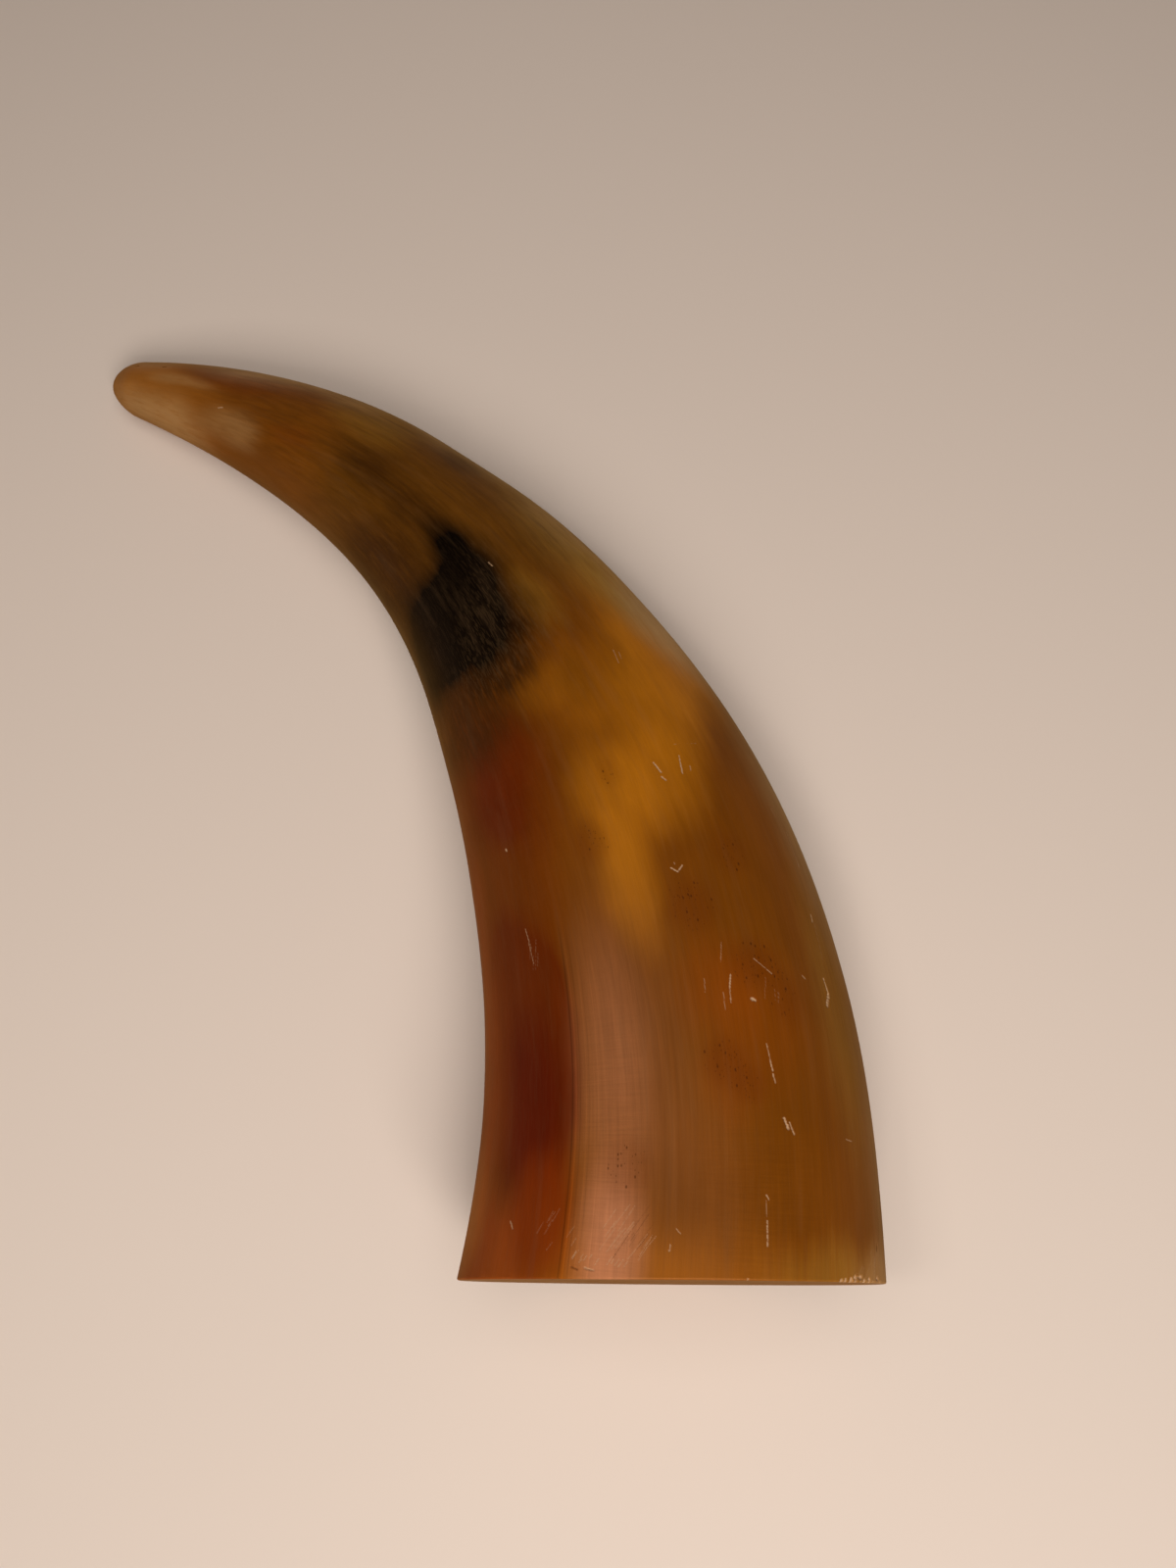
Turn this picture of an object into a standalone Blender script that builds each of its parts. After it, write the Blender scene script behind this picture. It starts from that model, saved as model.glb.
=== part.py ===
# Solid tip of a buffalo horn, sawn off square and polished, lying on its side on a flat surface.
# One grown piece, so one closed solid: metres, +Z up, origin under the middle of its box.
import math

import bmesh
import bpy
from mathutils import Matrix, Vector

MM = 0.001

# Calliper stations every 24 mm along the growth line, from just past the saw cut to the tip:
# the line's heading seen from above (degrees from +X), the width and the height across it (mm).
STATION_GAP = 24 * MM
STATIONS = [
    (83, 60.7, 45.0),
    (88, 56.7, 43.0),
    (98, 53.6, 41.5),
    (107, 49.6, 39.0),
    (116, 43.2, 34.5),
    (123, 35.2, 29.0),
    (136, 28.2, 24.0),
    (148, 22.2, 19.4),
    (157, 15.2, 13.8),
    (164, 6.7, 6.3),
]
GROWTH_LENGTH = 212.5 * MM
TIP_ROUND = 6 * MM

# The saw cut: how far along the growth line it crosses, the way its face looks from above,
# and how far that face tips upwards.
CUT_AT = 9.9 * MM
CUT_HEADING = -90.5
CUT_LEAN = 7.0
RIM_BREAK = 0.4 * MM

# The section is a slightly square oval. A soft ridge runs along the top of its inner side,
# strongest at the cut and gone at RIDGE_END.
SQUARENESS = 2.15
RIDGE_ANGLE = 119.0
RIDGE_SPREAD = 11.0
RIDGE_SHARE = 0.018
RIDGE_END = 100 * MM

SIDES = 64
BODY_RINGS = 46
TIP_RINGS = 9

HORN_COLOUR = (0.26, 0.1, 0.025, 1.0)
HORN_ROUGHNESS = 0.32


def clear_scene():
    for old in list(bpy.data.objects):
        bpy.data.objects.remove(old)


def station_value(column, distance):
    """A station column at a distance along the growth line, on a smooth curve through the stations."""
    values = [row[column] for row in STATIONS]
    last = len(values) - 1
    place = distance / STATION_GAP
    before = max(0, min(int(place), last - 1))
    share = place - before

    def slope(i):
        if i == 0:
            return 2 * (values[1] - values[0]) - slope(1)
        if i == last:
            return 2 * (values[last] - values[last - 1]) - slope(last - 1)
        return (values[i + 1] - values[i - 1]) / 2

    square, cube = share**2, share**3
    return (
        (2 * cube - 3 * square + 1) * values[before]
        + (cube - 2 * square + share) * slope(before)
        + (3 * square - 2 * cube) * values[before + 1]
        + (cube - square) * slope(before + 1)
    )


def ring_distances():
    """Even rings along the body, then rings that close the round of the tip."""
    body_end = GROWTH_LENGTH - TIP_ROUND
    body = [body_end * i / BODY_RINGS for i in range(BODY_RINGS)]
    quarter = [math.pi / 2 * i / TIP_RINGS for i in range(TIP_RINGS + 1)]
    return body + [body_end + TIP_ROUND * math.sin(turn) for turn in quarter]


def tip_rounding(distance):
    """The share of its full size that a ring keeps: 1 along the body, falling to 0 at the tip."""
    past = (distance - (GROWTH_LENGTH - TIP_ROUND)) / TIP_ROUND
    return math.sqrt(max(0.0, 1 - max(0.0, past) ** 2))


def growth_line(distances):
    """The line's point at each distance. Its height keeps the underside on the ground all along."""
    points = [Vector((0, 0, 0))]
    for start, end in zip(distances, distances[1:]):
        middle = (start + end) / 2
        heading = math.radians(station_value(0, middle))
        step = Vector((math.cos(heading), math.sin(heading), 0)) * (end - start)
        points.append(points[-1] + step)
    for point, distance in zip(points, distances):
        point.z = station_value(2, distance) * MM / 2
    return points


def point_at(distance, distances, points):
    """The growth line's point at this distance, between the rings on either side of it."""
    after = next(i for i, ring in enumerate(distances) if ring > distance)
    share = (distance - distances[after - 1]) / (distances[after] - distances[after - 1])
    return points[after - 1].lerp(points[after], share)


def ring_axes(points, i):
    """The level axis towards the outside of the bend, and the upward axis square to the line."""
    ahead = points[min(i + 1, len(points) - 1)] - points[max(i - 1, 0)]
    outward = ahead.cross(Vector((0, 0, 1))).normalized()
    return outward, outward.cross(ahead).normalized()


def section_point(angle, distance):
    """Offsets (outward, up) of the surface at this angle, counted from the outer side over the top."""
    power = 2 / SQUARENESS
    across, up = math.cos(angle), math.sin(angle)
    across = math.copysign(abs(across) ** power, across)
    up = math.copysign(abs(up) ** power, up)
    fade = max(0.0, 1 - distance / RIDGE_END) ** 2 * (1 + 2 * distance / RIDGE_END)
    off_ridge = (math.degrees(angle) % 360 - RIDGE_ANGLE) / RIDGE_SPREAD
    swell = (1 + RIDGE_SHARE * fade * math.exp(-(off_ridge**2))) * tip_rounding(distance)
    half_width = station_value(1, distance) * MM / 2
    half_height = station_value(2, distance) * MM / 2
    return across * half_width * swell, up * half_height * swell


def straight_blank(rings):
    """A cylinder of radius 1 whose height counts the rings."""
    blank = bmesh.new()
    bmesh.ops.create_cone(
        blank, cap_ends=True, segments=SIDES, radius1=1, radius2=1, depth=rings - 1
    )
    bmesh.ops.translate(blank, verts=blank.verts, vec=(0, 0, (rings - 1) / 2))
    long_edges = [e for e in blank.edges if e.verts[0].co.z != e.verts[1].co.z]
    bmesh.ops.subdivide_edges(blank, edges=long_edges, cuts=rings - 2, use_grid_fill=True)
    return blank


def grow(blank, distances, points):
    """Bends and tapers the blank along the growth line, and closes it at the tip."""
    for vert in blank.verts:
        ring = round(vert.co.z)
        angle = math.atan2(vert.co.y, vert.co.x)
        outward, upward = ring_axes(points, ring)
        across, up = section_point(angle, distances[ring])
        vert.co = points[ring] + outward * across + upward * up
    bmesh.ops.remove_doubles(blank, verts=blank.verts, dist=0.01 * MM)


def saw_off(horn, point):
    """Cuts the horn flat at the root and breaks the sharp rim."""
    facing = Matrix.Rotation(math.radians(CUT_HEADING), 3, "Z") @ Vector(
        (math.cos(math.radians(CUT_LEAN)), 0, math.sin(math.radians(CUT_LEAN)))
    )
    everything = horn.verts[:] + horn.edges[:] + horn.faces[:]
    bmesh.ops.bisect_plane(
        horn, geom=everything, plane_co=point, plane_no=facing, clear_outer=True
    )
    rim = [e for e in horn.edges if e.is_boundary]
    bmesh.ops.edgeloop_fill(horn, edges=rim)
    bmesh.ops.bevel(
        horn, geom=rim, offset=RIM_BREAK, segments=2, profile=0.5, affect="EDGES", material=-1
    )


def set_down(horn):
    """Moves the horn so that it touches z = 0, with the middle of its box over the origin."""
    low = Vector(min(v.co[axis] for v in horn.verts) for axis in range(3))
    high = Vector(max(v.co[axis] for v in horn.verts) for axis in range(3))
    shift = Vector((-(low.x + high.x) / 2, -(low.y + high.y) / 2, -low.z))
    bmesh.ops.translate(horn, verts=horn.verts, vec=shift)


def horn_material():
    material = bpy.data.materials.new("polished_horn")
    material.use_nodes = True
    shader = material.node_tree.nodes["Principled BSDF"]
    shader.inputs["Base Color"].default_value = HORN_COLOUR
    shader.inputs["Roughness"].default_value = HORN_ROUGHNESS
    shader.inputs["Metallic"].default_value = 0.0
    return material


def make_horn():
    distances = ring_distances()
    points = growth_line(distances)
    horn = straight_blank(len(distances))
    grow(horn, distances, points)
    saw_off(horn, point_at(CUT_AT, distances, points))
    set_down(horn)
    bmesh.ops.recalc_face_normals(horn, faces=horn.faces)
    mesh = bpy.data.meshes.new("horn")
    horn.to_mesh(mesh)
    horn.free()
    mesh.shade_smooth()
    mesh.set_sharp_from_angle(angle=math.radians(40))
    mesh.materials.append(horn_material())
    return bpy.data.objects.new("horn", mesh)


def main():
    clear_scene()
    collection = bpy.data.collections.new("buffalo_horn")
    bpy.context.scene.collection.children.link(collection)
    collection.objects.link(make_horn())


main()
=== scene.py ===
import functools
import math
import random

import bmesh
import bpy
from mathutils import Matrix, Vector, noise


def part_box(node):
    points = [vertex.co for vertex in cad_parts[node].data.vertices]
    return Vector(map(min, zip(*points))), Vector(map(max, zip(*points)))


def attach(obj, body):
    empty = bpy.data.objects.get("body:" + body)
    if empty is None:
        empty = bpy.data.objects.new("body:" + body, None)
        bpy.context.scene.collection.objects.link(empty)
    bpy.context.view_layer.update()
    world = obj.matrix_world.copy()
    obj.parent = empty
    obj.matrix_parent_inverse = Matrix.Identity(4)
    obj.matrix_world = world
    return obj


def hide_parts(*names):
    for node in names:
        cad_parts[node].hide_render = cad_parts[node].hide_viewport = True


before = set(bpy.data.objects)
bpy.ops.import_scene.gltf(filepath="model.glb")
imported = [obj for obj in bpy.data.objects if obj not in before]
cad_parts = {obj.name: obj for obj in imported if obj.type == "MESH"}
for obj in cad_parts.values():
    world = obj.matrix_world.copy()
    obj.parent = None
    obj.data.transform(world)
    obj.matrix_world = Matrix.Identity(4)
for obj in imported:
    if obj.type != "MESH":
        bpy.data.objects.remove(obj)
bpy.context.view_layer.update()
mm = 0.001

# The growth line runs on the ground from just past the saw cut to the tip. Each station is
# 24 mm on from the last: heading seen from above (degrees from +X), width and height. All in mm.
hornShape = {
    "stationGap": 24.0,
    "stations": [
        (83, 60.7, 45.0),
        (88, 56.7, 43.0),
        (98, 53.6, 41.5),
        (107, 49.6, 39.0),
        (116, 43.2, 34.5),
        (123, 35.2, 29.0),
        (136, 28.2, 24.0),
        (148, 22.2, 19.4),
        (157, 15.2, 13.8),
        (164, 6.7, 6.3),
    ],
    "length": 212.5,
    "tipRound": 6.0,
    "squareness": 2.15,  # 2 is a plain oval
    "cutAt": 9.9,
    "cutHeading": -90.5,
    "cutLean": 7.0,
    "cutReach": 26.0,  # from the middle of the cut to its rim, about
    "rimBreak": 0.25,
    "rimTurns": (30, 60, 90),  # rings that round the rim, degrees
    "cutWithin": 0.01,  # faces nearer than this to the cut are its own
    "faceRings": (0.985, 0.94, 0.8, 0.5),  # rings inside the cut face, each a share of the last
    "lineStep": 0.5,  # between points of the growth line
    "sides": 144,
    "crowding": 0.35,  # how far the faces crowd towards the top
    "bodyRings": 284,
    "tipRings": 14,
    "refined": (1.2, 0.7, 0.35),  # reach of each round of finer faces beside a mark
    "merged": 0.004,  # points nearer than this are made one
}

# Hand-shaped relief on the plain loft, heights in mm. Angles go round the section from the
# outside of the bend (0) over the top (90) to the inside (180).
hornRelief = {
    "ridgeAngle": 119.0,
    "ridgeSpread": 11.0,
    "ridgeShare": 0.018,
    "ridgeEnd": 100.0,
    "creaseHeight": 0.11,  # a narrow crest on the ridge, gone at creaseEnd
    "creaseSpread": 3.2,
    "creaseEnd": 75.0,
    "waveHeight": 0.10,
    "waveLength": 26.0,
    "grooveHeight": 0.022,
    "grooveSpacing": 1.5,
    "grooveStretch": 0.012,  # how slowly the grooves change along the horn
    "grooveShare": (0.6, 1.6),  # everywhere, and more beside the ridge
    # angle, along, reach round (mm), reach along (mm), height
    "swells": [
        (10, 117, 16, 12, 0.35),
        (15, 142, 12, 10, -0.45),
        (160, 118, 12, 16, -0.25),
        (62, 80, 14, 26, 0.10),
        (96, 34, 12, 30, -0.12),
    ],
}

# Nicks and hair scratches: from (angle, along) to (angle, along), width, depth, how pale.
hornNicks = [
    ((77.0, 78.3), (76.0, 76.7), 0.30, 0.10, 1.0),
    ((76.4, 76.0), (75.6, 75.4), 0.28, 0.08, 0.8),
    ((67.2, 78.4), (69.0, 75.8), 0.22, 0.08, 1.0),
    ((65.0, 76.6), (65.4, 76.0), 0.20, 0.04, 0.5),
    ((67.0, 80.2), (58.0, 79.7), 0.12, 0.02, 0.35),
    ((83.6, 63.5), (82.0, 62.8), 0.24, 0.07, 1.0),
    ((82.0, 62.8), (80.2, 63.5), 0.24, 0.07, 1.0),
    ((82.2, 64.1), (82.2, 63.9), 0.20, 0.05, 0.7),
    ((135.0, 74.3), (135.0, 74.1), 0.42, 0.08, 1.0),
    ((133.0, 60.9), (131.6, 57.6), 0.16, 0.05, 0.6),
    ((132.4, 58.6), (131.4, 55.2), 0.16, 0.05, 0.5),
    ((66.0, 50.1), (61.0, 48.0), 0.16, 0.04, 0.7),
    ((74.4, 48.4), (75.4, 46.8), 0.24, 0.07, 1.0),
    ((75.4, 46.8), (75.8, 45.0), 0.18, 0.06, 0.7),
    ((75.0, 52.6), (76.4, 50.2), 0.12, 0.03, 0.45),
    ((82.0, 48.3), (82.4, 46.6), 0.14, 0.03, 0.45),
    ((77.4, 46.4), (77.8, 44.2), 0.14, 0.04, 0.5),
    ((69.3, 45.2), (68.5, 45.0), 0.55, 0.12, 1.0),
    ((38.0, 47.2), (37.2, 45.4), 0.30, 0.15, 1.0),
    ((37.2, 45.4), (39.6, 44.0), 0.62, 0.22, 1.0),
    ((49.0, 47.6), (48.0, 47.2), 0.26, 0.06, 0.5),
    ((34.2, 55.3), (34.6, 54.4), 0.30, 0.08, 0.8),
    ((33.6, 54.4), (35.2, 49.6), 0.12, 0.03, 0.3),
    ((28.6, 66.6), (30.0, 61.6), 0.16, 0.05, 0.8),
    ((33.6, 69.8), (32.8, 68.6), 0.16, 0.04, 0.5),
    ((64.4, 31.1), (63.4, 29.9), 0.44, 0.14, 1.0),
    ((62.8, 30.6), (61.6, 29.2), 0.26, 0.10, 0.9),
    ((67.2, 39.8), (66.8, 38.2), 0.20, 0.05, 0.8),
    ((66.8, 38.0), (66.4, 36.6), 0.24, 0.06, 1.0),
    ((66.4, 36.2), (66.0, 35.2), 0.24, 0.06, 0.9),
    ((71.0, 22.1), (70.4, 21.6), 0.22, 0.06, 0.8),
    ((71.2, 21.4), (71.0, 19.6), 0.14, 0.04, 0.5),
    ((71.0, 19.2), (71.0, 16.3), 0.18, 0.05, 0.9),
    ((41.0, 28.8), (38.0, 28.6), 0.16, 0.04, 0.6),
    ((28.4, 15.6), (30.4, 12.8), 0.14, 0.04, 0.6),
    ((139.4, 16.7), (138.0, 15.8), 0.34, 0.06, 0.7),
    ((172.0, 11.6), (172.0, 11.4), 0.36, 0.08, 0.9),
    ((92.2, 17.6), (91.2, 17.0), 0.16, 0.04, 0.6),
    ((93.2, 15.6), (93.4, 14.8), 0.22, 0.05, 0.7),
    ((68.0, 97.2), (69.4, 94.8), 0.14, 0.04, 0.6),
    ((66.4, 96.6), (67.2, 95.4), 0.12, 0.03, 0.5),
    ((90.0, 120.9), (89.6, 119.9), 0.20, 0.05, 0.8),
    ((109.6, 184.9), (107.6, 184.1), 0.34, 0.10, 0.7),
    ((26.0, 17.1), (26.2, 16.5), 0.42, 0.20, -0.8),
    ((66.0, 200.9), (64.0, 200.3), 0.40, 0.10, -0.7),
    ((68.0, 206.7), (66.0, 206.2), 0.36, 0.10, -0.7),
    ((116.6, 11.9), (115.0, 11.6), 0.30, 0.10, -0.4),
    ((113.0, 11.9), (110.6, 11.7), 0.40, 0.12, 0.5),
]

# Chips broken from the saw cut's rim: angle, distance from the cut's line, size, depth.
rimChips = [
    (47.5, 0.10, 0.75, 0.40),
    (45.8, 0.25, 0.60, 0.30),
    (43.2, 0.15, 0.95, 0.50),
    (41.0, 0.40, 1.15, 0.55),
    (38.6, 0.55, 0.90, 0.50),
    (36.6, 0.20, 0.75, 0.35),
    (33.6, 0.30, 0.70, 0.40),
    (31.0, 0.10, 0.50, 0.25),
    (27.5, 0.50, 0.80, 0.45),
    (25.0, 0.10, 0.60, 0.35),
    (76.0, 0.05, 0.45, 0.15),
    (93.0, 0.05, 0.40, 0.15),
    (228.0, 0.10, 0.90, 0.40),
    (301.0, 0.15, 0.80, 0.35),
]

# Fans of near-parallel scratches: middle (angle, along), spread of starts (degrees, mm), run of
# one (degrees, mm), how many, how pale.
scratchFans = [
    ((105, 15.0), (6.5, 2.2), (-4.2, 3.4), 16, 0.62),
    ((104, 15.4), (6.5, 2.2), (-4.0, 3.4), 9, -0.55),
    ((110, 12.8), (7.0, 0.5), (-1.2, 0.8), 16, 0.75),
    ((124, 15.5), (8.0, 2.0), (-2.2, 1.8), 9, 0.35),
    ((40, 12.6), (7.0, 0.8), (-9.0, 3.6), 9, 0.30),
    ((131, 57.5), (2.2, 1.6), (1.4, -3.0), 5, 0.25),
    ((62, 46.5), (4.0, 1.2), (1.0, -2.2), 5, 0.25),
    ((240, 60), (12, 14), (3.0, 6.0), 6, 0.30),
    ((300, 120), (14, 20), (-4.0, 5.0), 6, 0.30),
    ((352, 60), (8, 22), (2.0, 5.0), 5, 0.30),
    ((186, 96), (8, 22), (-2.0, 5.0), 5, 0.30),
]

# What is drawn for each scratch of a fan, and how deep it is.
fanScratch = {
    "seed": 7,
    "length": (0.45, 1.0),  # share of the run
    "stray": (-0.3, 0.3),
    "width": (0.09, 0.14),
    "paleness": (0.5, 1.0),  # share of the fan's
    "depth": 0.025,
}

# How every mark is cut.
markCut = {
    "halfWidth": 0.46,  # share of its width
    "ragged": 0.3,  # how far its edge strays, share of its width
    "raggedness": 5.0,  # cells per mm
    "paleGain": 1.8,  # more than 1 makes it pale almost to its edge
    "refined": 0.6,  # share of its width added to the reach of the finer faces
    "reach": 3,  # mm along, past which it isn't looked for
    "longest": 9,  # mm
}


@functools.lru_cache(maxsize=None)
def stationValue(column, distance):
    values = [row[column] for row in hornShape["stations"]]
    last = len(values) - 1
    place = distance / hornShape["stationGap"]
    before = max(0, min(int(place), last - 1))
    share = place - before

    def slope(i):
        if i == 0:
            return 2 * (values[1] - values[0]) - slope(1)
        if i == last:
            return 2 * (values[last] - values[last - 1]) - slope(last - 1)
        return (values[i + 1] - values[i - 1]) / 2

    square, cube = share**2, share**3
    return (
        (2 * cube - 3 * square + 1) * values[before]
        + (cube - 2 * square + share) * slope(before)
        + (3 * square - 2 * cube) * values[before + 1]
        + (cube - square) * slope(before + 1)
    )


def growthTable():
    # points of the growth line at even steps, at heights that keep the underside on the ground
    step = hornShape["lineStep"]
    points = [Vector((0, 0, 0))]
    for i in range(int(hornShape["length"] / step) + 1):
        heading = math.radians(stationValue(0, (i + 0.5) * step))
        points.append(points[-1] + Vector((math.cos(heading), math.sin(heading), 0)) * step)
    for i, point in enumerate(points):
        point.z = stationValue(2, i * step) / 2
    return points


linePoints = growthTable()


@functools.lru_cache(maxsize=None)
def lineFrame(distance):
    # the line's point at a distance, the level way out of the bend, and the way up across it
    place = distance / hornShape["lineStep"]
    before = max(0, min(int(place), len(linePoints) - 2))
    point = linePoints[before].lerp(linePoints[before + 1], place - before)
    heading = math.radians(stationValue(0, distance))
    rise = (stationValue(2, distance + 0.5) - stationValue(2, distance - 0.5)) / 2
    ahead = Vector((math.cos(heading), math.sin(heading), rise)).normalized()
    outward = ahead.cross(Vector((0, 0, 1))).normalized()
    return point, outward, outward.cross(ahead).normalized()


def tipRounding(distance):
    past = (distance - (hornShape["length"] - hornShape["tipRound"])) / hornShape["tipRound"]
    return math.sqrt(max(0.0, 1 - max(0.0, past) ** 2))


def plainSection(angle, distance):
    # offsets (outward, up) of the loft's plain surface at an angle in degrees
    power = 2 / hornShape["squareness"]
    across, up = math.cos(math.radians(angle)), math.sin(math.radians(angle))
    across = math.copysign(abs(across) ** power, across)
    up = math.copysign(abs(up) ** power, up)
    return across * stationValue(1, distance) / 2, up * stationValue(2, distance) / 2


def straightPlace(angle, along):
    # the same point on a horn straightened out: outward, along, up (mm)
    across, up = plainSection(angle, along)
    return Vector((across, along, up))


def segmentDistance(point, start, end):
    line = end - start
    if line.length < 1e-6:
        return (point - start).length
    share = max(0.0, min(1.0, (point - start).dot(line) / line.length_squared))
    return (point - start - line * share).length


def cutLineAlong(angle):
    # where the saw cut's plane meets the surface at this angle, along the growth line
    along, facing = hornShape["cutAt"], cutFacing()
    point = lineFrame(along)[0]
    for _ in range(6):  # each step lands far nearer than the last
        centre, outward, upward = lineFrame(along)
        across, up = plainSection(angle, along)
        along += (centre + outward * across + upward * up - point).dot(facing)
    return along


def cutFacing():
    lean = math.radians(hornShape["cutLean"])
    turn = Matrix.Rotation(math.radians(hornShape["cutHeading"]), 3, "Z")
    return turn @ Vector((math.cos(lean), 0, math.sin(lean)))


def nickList():
    # every nick, chip and scratch as (start, end, width, depth, paleness), straightened out
    found = []
    for start, end, width, depth, pale in hornNicks:
        found.append((straightPlace(*start), straightPlace(*end), width, depth, pale))
    draw = random.Random(fanScratch["seed"])
    for middle, spread, run, count, pale in scratchFans:
        for _ in range(count):
            angle = middle[0] + draw.uniform(-1, 1) * spread[0]
            along = middle[1] + draw.uniform(-1, 1) * spread[1]
            size = draw.uniform(*fanScratch["length"])
            stray = draw.uniform(*fanScratch["stray"])
            width = draw.uniform(*fanScratch["width"])
            paleness = pale * draw.uniform(*fanScratch["paleness"])
            start = straightPlace(angle, along)
            end = straightPlace(angle + run[0] * size, along + run[1] * size + stray)
            found.append((start, end, width, fanScratch["depth"], paleness))
    for angle, off, size, depth in rimChips:
        middle = straightPlace(angle, cutLineAlong(angle) + off)
        found.append((middle, middle, size, depth, 1.0))
    return found


def marksByPlace():
    # the marks within reach of each whole millimetre along
    near, reach = {}, markCut["reach"]
    for mark in nickList():
        low, high = sorted((mark[0].y, mark[1].y))
        for along in range(math.floor(low - reach), math.ceil(high + reach) + 1):
            near.setdefault(along, []).append(mark)
    return near


marksNear = marksByPlace()


def nickAt(place):
    # (depth, paleness) of the marks at a place on the straightened surface
    depth = pale = 0.0
    for start, end, width, markDepth, markPale in marksNear.get(round(place.y), ()):
        if (place - start).length > markCut["longest"]:
            continue
        ragged = noise.noise(place * markCut["raggedness"]) * markCut["ragged"] * width
        off = (segmentDistance(place, start, end) + ragged) / (width * markCut["halfWidth"])
        if off < 1.0:
            share = (1 - off * off) ** 2 if off > 0 else 1.0
            depth = max(depth, markDepth * share)
            paleHere = markPale * min(1.0, share * markCut["paleGain"])
            if abs(paleHere) > abs(pale):
                pale = paleHere
    return depth, pale


def reliefAt(angle, along, place):
    # height of the hand-shaped relief over the plain loft, mm
    relief = hornRelief
    fade = max(0.0, 1 - along / relief["ridgeEnd"]) ** 2 * (1 + 2 * along / relief["ridgeEnd"])
    offRidge = (angle - relief["ridgeAngle"]) / relief["ridgeSpread"]
    radius = Vector((place.x, place.z)).length
    height = relief["ridgeShare"] * radius * fade * math.exp(-offRidge * offRidge)
    crest = (angle - relief["ridgeAngle"]) / relief["creaseSpread"]
    crestFade = max(0.0, 1 - along / relief["creaseEnd"])
    height += relief["creaseHeight"] * crestFade * math.exp(-crest * crest)
    wave = noise.noise(place / relief["waveLength"] + Vector((3, 1, 7)))
    height += relief["waveHeight"] * wave
    groove = Vector((place.x, place.y * relief["grooveStretch"], place.z))
    everywhere, beside = relief["grooveShare"]
    share = everywhere + beside * fade * math.exp(-offRidge**2 / 4)
    height += relief["grooveHeight"] * noise.noise(groove / relief["grooveSpacing"]) * share
    for swellAngle, swellAlong, reachRound, reachAlong, rise in relief["swells"]:
        off = place - straightPlace(swellAngle, swellAlong)
        share = (off.x**2 + off.z**2) / reachRound**2 + (off.y / reachAlong) ** 2
        if share < 4:  # nothing is left past twice its reach
            height += rise * math.exp(-share)
    return height


def ringPlace(share):
    # share 0 to 1 along the flat sheet to a distance: even rings, then the round of the tip
    rings = hornShape["bodyRings"] + hornShape["tipRings"]
    ring = share * rings
    bodyEnd = hornShape["length"] - hornShape["tipRound"]
    if ring <= hornShape["bodyRings"]:
        return bodyEnd * ring / hornShape["bodyRings"]
    turn = (ring - hornShape["bodyRings"]) / hornShape["tipRings"] * math.pi / 2
    return bodyEnd + hornShape["tipRound"] * math.sin(min(turn, math.pi / 2))


def sheetPlace(co):
    # the flat sheet's x and y (0 to 1) as an angle in degrees and a distance along
    turn = co.x * 2 * math.pi - math.pi / 2
    angle = turn + hornShape["crowding"] * math.cos(turn)
    return math.degrees(angle), ringPlace(co.y)


def flatSheet():
    sheet = bmesh.new()
    rings = hornShape["bodyRings"] + hornShape["tipRings"]
    bmesh.ops.create_grid(sheet, x_segments=hornShape["sides"], y_segments=rings, size=0.5)
    bmesh.ops.translate(sheet, verts=sheet.verts, vec=(0.5, 0.5, 0))
    return sheet


def refineNicks(sheet):
    # finer faces round every nick and chip, so that they are cut into the mesh
    for reach in hornShape["refined"]:
        near = set()
        for face in sheet.faces:
            angle, along = sheetPlace(face.calc_center_median())
            place = straightPlace(angle, along)
            for start, end, width, *_ in marksNear.get(round(along), ()):
                if segmentDistance(place, start, end) < reach + width * markCut["refined"]:
                    near.update(face.edges)
                    break
        edges = [edge for edge in sheet.edges if edge in near]
        bmesh.ops.subdivide_edges(sheet, edges=edges, cuts=1, use_grid_fill=True)


def rollUp(sheet):
    # rolls the sheet into the bent, tapered horn and keeps each point's straightened place, its
    # angle round the section and how bare it was scratched
    straight = sheet.verts.layers.float_vector.new("straight")
    turn = sheet.verts.layers.float.new("turn")
    bare = sheet.verts.layers.float.new("bare")
    for vert in sheet.verts:
        angle, along = sheetPlace(vert.co)
        place = straightPlace(angle, along)
        depth, pale = nickAt(place)
        rounding = tipRounding(along)
        height = (reliefAt(angle % 360, along, place) - depth) * rounding
        halfWidth, halfHeight = stationValue(1, along) / 2, stationValue(2, along) / 2
        slant = Vector((place.x / halfWidth**2, place.z / halfHeight**2)).normalized()
        point, outward, upward = lineFrame(along)
        across = place.x * rounding + slant.x * height
        up = place.z * rounding + slant.y * height
        vert.co = (point + outward * across + upward * up) * mm
        vert[straight] = Vector((place.x * rounding, place.y, place.z * rounding)) * mm
        vert[turn] = angle
        vert[bare] = pale
    bmesh.ops.remove_doubles(sheet, verts=sheet.verts, dist=hornShape["merged"] * mm)


def innerRing(horn, face, size, shift):
    # one more ring inside a face, drawn in towards its middle and moved; gives the face left inside
    face = bmesh.ops.extrude_discrete_faces(horn, faces=[face])["faces"][0]
    about = Matrix.Translation(-face.calc_center_bounds())
    bmesh.ops.scale(horn, vec=(size, size, size), space=about, verts=face.verts)
    bmesh.ops.translate(horn, verts=face.verts, vec=shift)
    return face


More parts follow.
